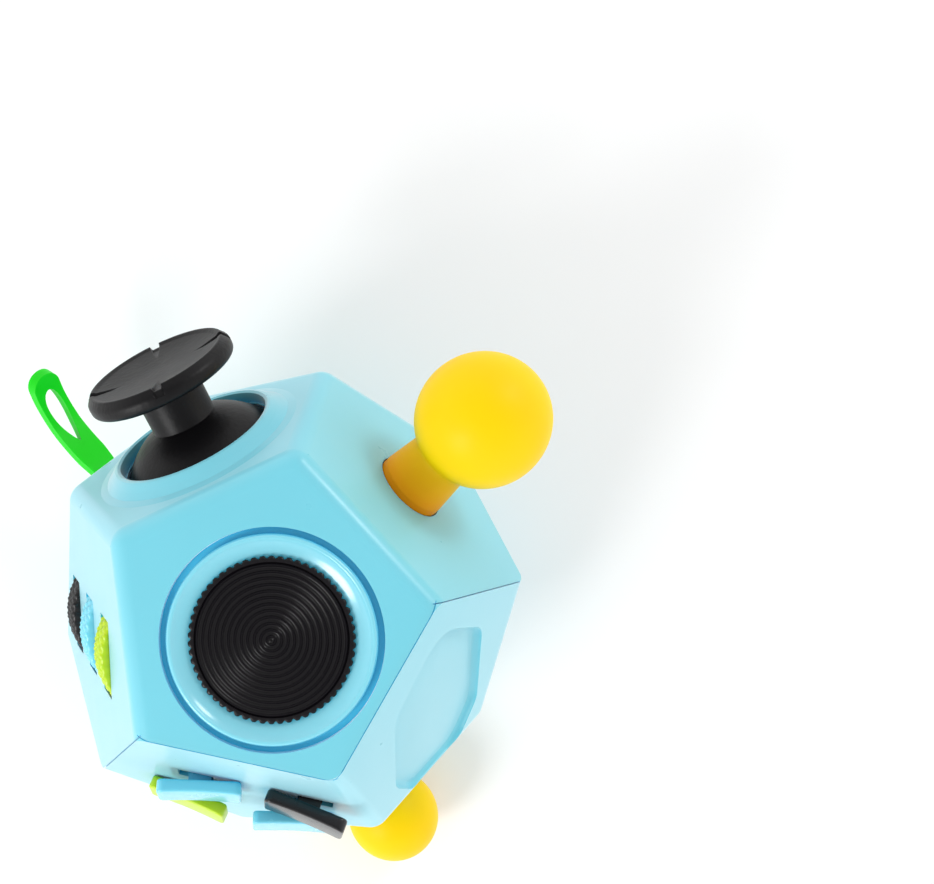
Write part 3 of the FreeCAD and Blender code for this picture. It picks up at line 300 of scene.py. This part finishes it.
def smooth_route(points, steps):
    """Points evenly along a Catmull-Rom curve through the given ones."""
    ends = [points[0]] + list(points) + [points[-1]]
    line = []
    for i in range(1, len(ends) - 2):
        p0, p1, p2, p3 = [Vector((p[0], 0, p[1])) for p in ends[i - 1:i + 3]]
        for k in range(steps):
            t = k / steps
            line.append(0.5 * (2 * p1 + (p2 - p0) * t + (2 * p0 - 5 * p1 + 4 * p2 - p3) * t * t
                               + (3 * p1 - p0 - 3 * p2 + p3) * t ** 3))
    line.append(Vector((points[-1][0], 0, points[-1][1])))
    return line


def stands_for(obj, body, slot, *names):
    """A drawn piece rides its body and takes the place of CAD nodes; slot is not used."""
    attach(obj, body)
    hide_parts(*names)


def repaint(mat, *names):
    """Material on CAD nodes that stay, with smooth curves, crisp edges and flat flats."""
    for name in names:
        mesh = nodes[name].data
        mesh.materials.clear()
        mesh.materials.append(mat)
        mesh.polygons.foreach_set("use_smooth", [True] * len(mesh.polygons))
        mesh.set_sharp_from_angle(angle=math.radians(32))
        even = nodes[name].modifiers.new("even_shading", "WEIGHTED_NORMAL")
        even.keep_sharp = True
        even.weight = 100


# ---------------------------------------------------------------- shells and inner pieces
repaint(BODY, "upper_shell", "lower_shell")
repaint(NYLON, "stick_plate", "stick_gimbal", "wheel_brackets", "wheel_spacers",
        "rocker_frame", "button_plate", "slider_keeper", "roller_cup")
repaint(SOFT_CLEAR, "stick_boot", "button_dome_1", "button_dome_2", "button_dome_3")
repaint(STEEL, "small_screws", "dial_screw", "dial_washer", "stick_cross_pin",
        "wheel_axle", "rocker_pins", "slider_screw")

# ---------------------------------------------------------------- dial
DIAL_SHIFT = 2.5
DIAL = facing("dial", "stick", y=-DIAL_SHIFT)
DISC_R = 11.1
DISC_SKIRT_R = DISC_R - 0.75
DISC_WALL_R = 9.7
DISC_HUB_R = 2.0
GROOVES = 12
# One ridge of the disc: how far across its pitch, and the height there.
RIDGE = ((0.12, -0.64), (0.4, -0.56), (0.58, -0.32), (0.7, -0.32), (0.88, -0.56))
SCALLOPS = 58
SCALLOP_RIM = 0.5
SCALLOP_DIP, SCALLOP_DROP = 0.36, 0.06


def dial_disc():
    """Disc with concentric ridges and a scalloped grip round its rim."""
    rim = DISC_R - 0.9
    pitch = rim / GROOVES
    profile = [(0.0, -0.5)]
    profile += [((ring + part) * pitch, z) for ring in range(GROOVES) for part, z in RIDGE]
    profile += [(rim, -0.62), (rim + 0.1, -0.4), (DISC_R - 0.45, -0.34), (DISC_R - 0.15, -0.4),
                (DISC_R, -0.55), (DISC_R, -0.8), (DISC_SKIRT_R, -0.95), (DISC_SKIRT_R, -3.9),
                (DISC_WALL_R, -3.9), (DISC_WALL_R, -1.8), (DISC_HUB_R, -1.8),
                (DISC_HUB_R, -5.55), (0.0, -5.55)]

    def scallop(r, z, a):
        outer = r - (DISC_R - SCALLOP_RIM)
        if outer < 0:
            return r, z
        dip = abs(math.cos(a * SCALLOPS / 2)) ** 5
        return r - SCALLOP_DIP * dip * outer / SCALLOP_RIM, z - SCALLOP_DROP * dip

    return lathe("dial_grip", profile, DIAL, BLACK_FINE, steps=SCALLOPS * 8, shape=scallop,
                 smooth=40)


stands_for(dial_disc(), "dial", "black_abs", "dial_disc")

# The dish reaches in under the scallops, so each one shows the pale blue behind it.
DISH_R, DISH_CUP_R, DISH_BORE_R, DISH_HOLE_R = 14.05, 12.5, 11.4, 2.05
DISH_FLOOR, DISH_SEAT, DISH_BACK = -4.2, -1.18, -5.38
dish_profile = (
    [(DISH_HOLE_R, DISH_FLOOR), (DISH_BORE_R, DISH_FLOOR), (DISH_BORE_R, -1.5), (10.5, -1.3),
     (10.5, -1.05), (11.3, -0.92), (11.75, -0.72), (12.2, -0.5), (12.65, -0.26), (12.95, 0.0)]
    + arc(13.5, 0.02, 0.36, 150, 20, 10)
    + [(DISH_R - 0.05, -0.2), (DISH_R, -0.5), (DISH_R, DISH_SEAT), (DISH_CUP_R, DISH_SEAT),
       (DISH_CUP_R, DISH_BACK), (DISH_HOLE_R, DISH_BACK)])
stands_for(lathe("dial_dish", dish_profile, DIAL, BEZEL, steps=192), "shell", "cyan_abs",
           "dial_bezel")

# ---------------------------------------------------------------- thumb stick
STICK = facing("stick", "dial")
PIVOT_Z = -8.9
DOME_R, DOME_WALL = 14.15, 1.3
BOSS_R, BOSS_END, BOSS_TOP = 2.6, -11.2, 3.7
STEM_R, STEM_TOP = 4.8, 10.05
SPIGOT_R, SPIGOT_TOP = 3.0, 11.9
dome_profile = (
    [(0.0, BOSS_END), (BOSS_R, BOSS_END), (BOSS_R, BOSS_TOP)]
    + arc(0, PIVOT_Z, DOME_R - DOME_WALL, 78, 23, 14) + arc(0, PIVOT_Z, DOME_R, 22.5, 70, 18)
    + [(STEM_R + 0.06, 4.36), (STEM_R, 4.5), (STEM_R, STEM_TOP - 0.05), (SPIGOT_R, STEM_TOP),
       (SPIGOT_R, SPIGOT_TOP), (0.0, SPIGOT_TOP)])
stands_for(lathe("stick_dome_skin", dome_profile, STICK, BLACK, steps=160), "stick",
           "black_abs", "stick_dome")

CAP_UNDER = STEM_TOP + 0.01
CAP_SOCKET_R, CAP_SOCKET_TOP = 3.05, 12.05
CAP_R, CAP_DISH_R = 11.15, 9.5
CAP_DISH_Z, CAP_DISH_RISE = 12.35, 0.85
NOTCHES = 4
NOTCH_INNER_R, NOTCH_REACH = 6.2, 3.6
NOTCH_DEPTH, NOTCH_SIDE = 0.62, 0.16


def stick_cap():
    """Dished thumb cap whose rim is broken by tapering notches."""
    profile = ([(0.0, CAP_SOCKET_TOP), (CAP_SOCKET_R, CAP_SOCKET_TOP),
                (CAP_SOCKET_R, CAP_UNDER), (6.6, CAP_UNDER), (9.0, 10.4)]
               + arc(10.3, 11.45, 0.85, -95, -5, 8)
               + [(CAP_R, 12.1), (11.08, 12.45), (10.9, 12.75), (10.5, 13.2)]
               + arc(10.12, 13.12, 0.36, 20, 90, 4) + [(9.8, 13.4), (CAP_DISH_R, 13.2)]
               + [(r, CAP_DISH_Z + CAP_DISH_RISE * (r / CAP_DISH_R) ** 2)
                  for r in (9.2, 8.7, 8.2, 7.6, 7.0, 6.4, 5.6, 4.6, 3.4, 2.0)]
               + [(0.0, CAP_DISH_Z)])
    apart = 2 * math.pi / NOTCHES

    def notch(r, z, a):
        if z < CAP_DISH_Z - 0.05 or r < NOTCH_INNER_R:
            return r, z
        off = abs((a + apart / 2) % apart - apart / 2) * r
        reach = min(1.0, (r - NOTCH_INNER_R) / NOTCH_REACH)
        width = NOTCH_SIDE + 0.5 * reach
        dip = max(0.0, min(1.0, (width - off) / NOTCH_SIDE + 0.5))
        return r, z - NOTCH_DEPTH * dip * reach

    return lathe("stick_cap_skin", profile, STICK, BLACK, steps=600, shape=notch, smooth=38)


stands_for(stick_cap(), "stick", "black_abs", "stick_cap")

# ---------------------------------------------------------------- thumb wheels
WHEEL_R, WHEEL_W = 11.0, 3.9
WHEEL_PITCH = 8.9
MIDDLE_WHEEL = (-2.35, -1.2, -9.5)
AXLE_HOLE_R, HUB_R, RIM_INNER_R = 1.25, 3.2, 9.0
WEB_INSET = 1.2
KNURL_TEETH, KNURL_DEPTH, KNURL_LEAN = 44, 0.42, 1.6
KNURL_ROWS = 14


def thumb_wheel(colour, step, mat):
    """Wheel whose rim carries a diamond knurl."""
    x, y, z = MIDDLE_WHEEL
    place = facing("wheel", "stick", x + WHEEL_PITCH * step, y, z) @ turned("Y", 90)
    half = WHEEL_W / 2
    flank = half - WEB_INSET
    rim = [(WHEEL_R - 0.62, -half), (WHEEL_R - 0.2, -half + 0.14)]
    rim += [(WHEEL_R, w) for w in even_steps(-half + 0.35, half - 0.35, KNURL_ROWS)]
    rim += [(WHEEL_R - 0.2, half - 0.14), (WHEEL_R - 0.62, half)]
    profile = ([(AXLE_HOLE_R, -half), (HUB_R, -half), (HUB_R, -flank), (RIM_INNER_R, -flank),
                (RIM_INNER_R, -half)] + rim
               + [(RIM_INNER_R, half), (RIM_INNER_R, flank), (HUB_R, flank), (HUB_R, half),
                  (AXLE_HOLE_R, half)])

    def knurl(r, z, a):
        if r < WHEEL_R - 0.3:
            return r, z
        one = abs(math.sin(a * KNURL_TEETH / 2 + z * KNURL_LEAN))
        two = abs(math.sin(a * KNURL_TEETH / 2 - z * KNURL_LEAN))
        return r - KNURL_DEPTH + KNURL_DEPTH * min(one, two) ** 0.6, z

    wheel = lathe("wheel_%s_rim" % colour, profile, place, mat, steps=KNURL_TEETH * 7,
                  shape=knurl, smooth=60)
    stands_for(wheel, "wheel_" + colour, SLOT_OF[mat.name], "wheel_" + colour)


thumb_wheel("black", -1, BLACK_GRIP)
thumb_wheel("blue", 0, WHEEL_BLUE)
thumb_wheel("lime", 1, LIME)

# ---------------------------------------------------------------- rockers
# Each rocker's name, the side it rests on and its material.
ROCKERS = (("rocker_blue_upper", 1, PALE), ("rocker_lime", -1, LIME),
           ("rocker_black", -1, BLACK_GLOSS), ("rocker_blue_lower", 1, PALE))
ROCKER_TILT = 10
ROCKER_LENGTH, ROCKER_WIDTH = 12.0, 6.4
ROCKER_LOW, ROCKER_HIGH = 5.15, 7.15
ROCKER_DIP = 0.25
ROCKER_SECTIONS = 12
ROCKER_CORNER, ROCKER_EDGE = 0.9, 0.4
ROCKER_WEB = (3.3, 2.5, 6.6)
ROCKER_WEB_MIDDLE = 1.95


def pivot_of(joint):
    """Place of a joint's axis in the row frame."""
    return Vector(next(j for j in frame["record"]["behaviour"]["joints"]
                       if j["name"] == joint)["pos_m"])


def rocker(label, lean, mat):
    """Switch cap, dished along its top with bevelled edges and cut corners, on its web."""
    place = facing("rocker", "dial")
    place.translation = pivot_of(label + "_rock")
    place = place @ turned("Y", lean * ROCKER_TILT)
    half_l, half_w = ROCKER_LENGTH / 2, ROCKER_WIDTH / 2
    bm = bmesh.new()
    loops = []
    for k in even_steps(-1, 1, ROCKER_SECTIONS):
        top = ROCKER_HIGH - ROCKER_DIP * (1 - k * k)
        loops.append([bm.verts.new((half_l * k, y * half_w, z))
                      for y, z in ((-1, ROCKER_LOW), (1, ROCKER_LOW), (1, top), (-1, top))])
    for one, two in zip(loops, loops[1:]):
        for i in range(4):
            j = (i + 1) % 4
            bm.faces.new((one[i], one[j], two[j], two[i]))
    bm.faces.new(loops[0])
    bm.faces.new(loops[-1])
    bmesh.ops.recalc_face_normals(bm, faces=bm.faces)
    corners = [e for e in bm.edges if abs(e.verts[0].co.z - e.verts[1].co.z) > 1
               and abs(e.verts[0].co.x) > half_l - 0.01]
    bmesh.ops.bevel(bm, geom=corners, offset=ROCKER_CORNER, segments=3, profile=0.5,
                    affect="EDGES")
    rim = [e for e in bm.edges if e.calc_face_angle(0) > math.radians(55)]
    bmesh.ops.bevel(bm, geom=rim, offset=ROCKER_EDGE, segments=3, profile=0.6, affect="EDGES")
    bmesh.ops.create_cube(bm, size=1.0, matrix=Matrix.Translation((0, 0, ROCKER_WEB_MIDDLE))
                          @ Matrix.Diagonal((*ROCKER_WEB, 1)))
    obj = finished(label + "_cap", bm, place, mat, smooth=40)
    stands_for(obj, label, SLOT_OF[mat.name], label)


for entry in ROCKERS:
    rocker(*entry)

# ---------------------------------------------------------------- silicone balls
KNUCKLE_R = 5.2
FLANGE_R, FLANGE_TOP, FLANGE_BACK = 6.6, -5.6, -7.4
NECK_R, NECK_TOP = 3.4, -3.94
STALK_FOOT, STALK_STEPS = 0.8, 20


def ball_piece(name, face, up, radius, height, waist):
    """Ball that runs smoothly into its stalk, with the knuckle and flange behind the wall."""
    meet = math.degrees(math.asin(min(0.95, (waist + 0.15) / radius)))
    ball = arc(0, height, radius, -90 + meet, 90, 40)
    neck_r, neck_z = ball[0]
    stalk = []
    for k in even_steps(0, 1, STALK_STEPS):
        r = KNUCKLE_R + (waist - KNUCKLE_R) * min(1.0, k * 1.1)
        r += (neck_r - waist) * max(0.0, (k - 0.8) / 0.2) ** 2
        stalk.append((r, STALK_FOOT + (neck_z - STALK_FOOT) * k))
    profile = ([(0.0, FLANGE_BACK), (FLANGE_R, FLANGE_BACK), (FLANGE_R, FLANGE_TOP),
                (NECK_R, FLANGE_TOP), (NECK_R, NECK_TOP)]
               + arc(0, 0, KNUCKLE_R, -49, 7, 10) + stalk[:-1] + ball)
    profile[-1] = (0.0, height + radius)
    stands_for(lathe(name + "_skin", profile, facing(face, up), YELLOW, steps=144, smooth=50),
               name, "yellow_silicone", name)


ball_piece("upper_ball", "ball", "stick", 9.4, 14.6, 4.6)
ball_piece("lower_ball", "low_ball", "rest", 7.95, 18.2, 4.3)

# ---------------------------------------------------------------- silicone loop
LOOP = facing("loop", "stick") @ turned("Z", 90)
# Middle of the strap, across the face and out of it.
LOOP_ROUTE = ((0.0, -3.4), (0.5, 2.0), (3.0, 6.2), (6.8, 10.8), (9.6, 15.4), (12.4, 18.6),
              (16.2, 20.8), (19.4, 21.6), (22.0, 21.6))
LOOP_WIDTH, LOOP_BAND = 5.2, 1.9
LOOP_TIP = LOOP_WIDTH / 2
ROOT_HALF, WIDEN_FROM, WIDEN_OVER = 1.25, 7, 12
EYE_NEAR, EYE_FAR, STRAND = 14.2, 3.2, 0.8


def pull_loop():
    """Flat strap split into two strands that close in a round tip."""
    line = smooth_route(LOOP_ROUTE, 8)
    lengths = [0.0]
    for a, b in zip(line, line[1:]):
        lengths.append(lengths[-1] + (b - a).length)
    total = lengths[-1]

    def at(s):
        """Point and direction of the route at a length along it."""
        s = max(0.0, min(total, s))
        for i in range(len(line) - 1):
            if lengths[i + 1] >= s:
                k = (s - lengths[i]) / (lengths[i + 1] - lengths[i])
                return line[i].lerp(line[i + 1], k), (line[i + 1] - line[i]).normalized()
        return line[-1], (line[-1] - line[-2]).normalized()

    def half_width(s):
        """The strap narrows towards the body."""
        widened = min(1.0, max(0.0, s - WIDEN_FROM) / WIDEN_OVER)
        return ROOT_HALF + (LOOP_TIP - ROOT_HALF) * widened

    # Outline of the loop laid flat: s along the strap, w across it.
    straight = total - LOOP_TIP
    edge = [(s, half_width(s)) for s in even_steps(0.0, straight, round(straight / 0.8))]
    outer = [(s, -w) for s, w in edge]
    outer += [(straight + LOOP_TIP * math.sin(a), -LOOP_TIP * math.cos(a))
              for a in even_steps(0, math.pi, 20)[1:-1]]
    outer += [(s, w) for s, w in reversed(edge)]
    eye = []
    for a in even_steps(0, 2 * math.pi, 48)[:-1]:
        u = 0.5 + 0.5 * math.cos(a)
        w = (LOOP_TIP - STRAND) * math.sin(a) * (0.25 + 0.75 * u ** 0.6) * 1.12
        eye.append((total - EYE_NEAR + (EYE_NEAR - EYE_FAR) * u, w))
    bm = bmesh.new()
    flat = []
    for ring in (outer, eye):
        verts = [bm.verts.new((s, w, 0)) for s, w in ring]
        flat += [bm.edges.new((one, two)) for one, two in zip(verts, verts[1:] + verts[:1])]
    bmesh.ops.triangle_fill(bm, edges=flat, use_beauty=True)
    bmesh.ops.subdivide_edges(bm, edges=bm.edges[:], cuts=1, use_grid_fill=True)
    made = bmesh.ops.extrude_face_region(bm, geom=bm.faces[:])
    for v in [g for g in made["geom"] if isinstance(g, bmesh.types.BMVert)]:
        v.co.z += 1.0
    for v in bm.verts:
        point, tangent = at(v.co.x)
        across = Vector((tangent.z, 0, -tangent.x))
        v.co = point + across * (v.co.z - 0.5) * LOOP_BAND + Vector((0, v.co.y, 0))
    loop = finished("pull_loop_strap", bm, LOOP, GREEN, smooth=45)
    soften = loop.modifiers.new("soft_edges", "BEVEL")
    soften.width = 0.5 * MM
    soften.segments = 3
    soften.limit_method = "ANGLE"
    soften.angle_limit = math.radians(50)
    stands_for(loop, "pull_loop", "green_silicone", "pull_loop")


pull_loop()

# ---------------------------------------------------------------- small toys on the far faces
BUTTON_CIRCLE, BUTTON_SHIFT = 7.2, 1.6
BUTTON_R, BUTTON_FLANGE_R, BUTTON_NIB_R = 3.3, 4.4, 1.6
BUTTON_REST, BUTTON_BACK = -2.25, -3.2
button_profile = ([(0.0, BUTTON_BACK - 0.6), (BUTTON_NIB_R, BUTTON_BACK - 0.6),
                   (BUTTON_NIB_R, BUTTON_BACK), (BUTTON_FLANGE_R, BUTTON_BACK),
                   (BUTTON_FLANGE_R, BUTTON_REST), (BUTTON_R, BUTTON_REST), (BUTTON_R, 0.9)]
                  + arc(2.4, 1.0, 0.9, 0, 90, 8) + [(1.2, 1.84), (0.0, 1.8)])
for index, mat in enumerate((LIME, PALE, BLACK)):
    name = "click_button_%d" % (index + 1)
    angle = math.radians(90 + 120 * index)
    place = facing("button", "stick", BUTTON_CIRCLE * math.cos(angle),
                   BUTTON_CIRCLE * math.sin(angle) - BUTTON_SHIFT)
    stands_for(lathe(name + "_cap", button_profile, place, mat, steps=64), name,
               SLOT_OF[mat.name], name)

PUCK_R, PUCK_NECK_R = 4.2, 2.0
puck_profile = ([(0.0, -2.3), (PUCK_NECK_R, -2.3), (PUCK_NECK_R, 0.1), (PUCK_R, 0.1)]
                + arc(4.1, 0.6, 0.5, -80, 0, 4)
                + arc(4.0, 1.0, 0.6, 0, 90, 6) + [(3.0, 1.35), (1.5, 1.05), (0.0, 0.95)])
stands_for(lathe("slider_cap", puck_profile, facing("slider", "rest"), PALE, steps=96),
           "slider", "blue_abs", "slider_puck")

ROLLER_R, ROLLER_DEPTH = 4.8, 2.9
roller_profile = arc(0, 0, ROLLER_R, -90, 90, 32)
roller_profile[0], roller_profile[-1] = (0.0, -ROLLER_R), (0.0, ROLLER_R)
stands_for(lathe("roller_steel", roller_profile, facing("roller", "rest", z=-ROLLER_DEPTH),
                 POLISHED, steps=96),
           "roller_ball", "polished_steel", "roller_ball")

# ---------------------------------------------------------------- studio
HORIZON_GLOW, ZENITH_GLOW = 1.6, 0.5
FLOOR_HALF = 1500
FLOOR_GAP = 0.2 * MM
scene = bpy.context.scene
scene.view_settings.view_transform = "Standard"
world = scene.world or bpy.data.worlds.new("studio")
scene.world = world
world.use_nodes = True
world_tree = world.node_tree
background = world_tree.nodes["Background"]
sky_place = world_tree.nodes.new("ShaderNodeTexCoord")
height = world_tree.nodes.new("ShaderNodeSeparateXYZ")
glow = world_tree.nodes.new("ShaderNodeMapRange")
glow.inputs["From Min"].default_value = 0.1
glow.inputs["From Max"].default_value = 0.9
glow.inputs["To Min"].default_value = HORIZON_GLOW
glow.inputs["To Max"].default_value = ZENITH_GLOW
world_tree.links.new(sky_place.outputs["Generated"], height.inputs["Vector"])
world_tree.links.new(height.outputs["Z"], glow.inputs["Value"])
world_tree.links.new(glow.outputs["Result"], background.inputs["Strength"])
background.inputs["Color"].default_value = (1.0, 1.0, 1.0, 1.0)

bm = bmesh.new()
bmesh.ops.create_grid(bm, x_segments=1, y_segments=1, size=FLOOR_HALF)
floor = finished("floor", bm, Matrix.Translation((0, 0, cad_box[0][2] - FLOOR_GAP)),
                 material("floor_white", (0.95, 0.95, 0.95, 1.0), 0.8, bump=0.0, vary=0.01))


def softbox(name, place, target, size, power):
    """Round area light that points at a target."""
    data = bpy.data.lights.new(name, "AREA")
    data.shape = "DISK"
    data.size = size
    data.energy = power
    lamp = bpy.data.objects.new(name, data)
    lamp.location = place
    lamp.rotation_euler = (Vector(target) - Vector(place)).to_track_quat("-Z", "Y").to_euler()
    scene.collection.objects.link(lamp)


softbox("key_light", (0.33, 0.12, 0.24), CENTRE, 0.1, 0.3)
softbox("back_light", (-0.33, -0.12, 0.3), CENTRE, 0.16, 0.9)

camera_data = bpy.data.cameras.new("camera")
camera_data.sensor_width = 36.0
camera_data.lens = 41.97
camera_data.shift_x = 0.1916
camera_data.shift_y = 0.1172
camera_data.clip_start = 0.005
camera = bpy.data.objects.new("camera", camera_data)
camera.location = Vector((18.8, 7.0, 201.3)) * MM
camera.rotation_euler = [math.radians(a) for a in (-1.95, 4.39, -24.78)]
scene.collection.objects.link(camera)
scene.camera = camera
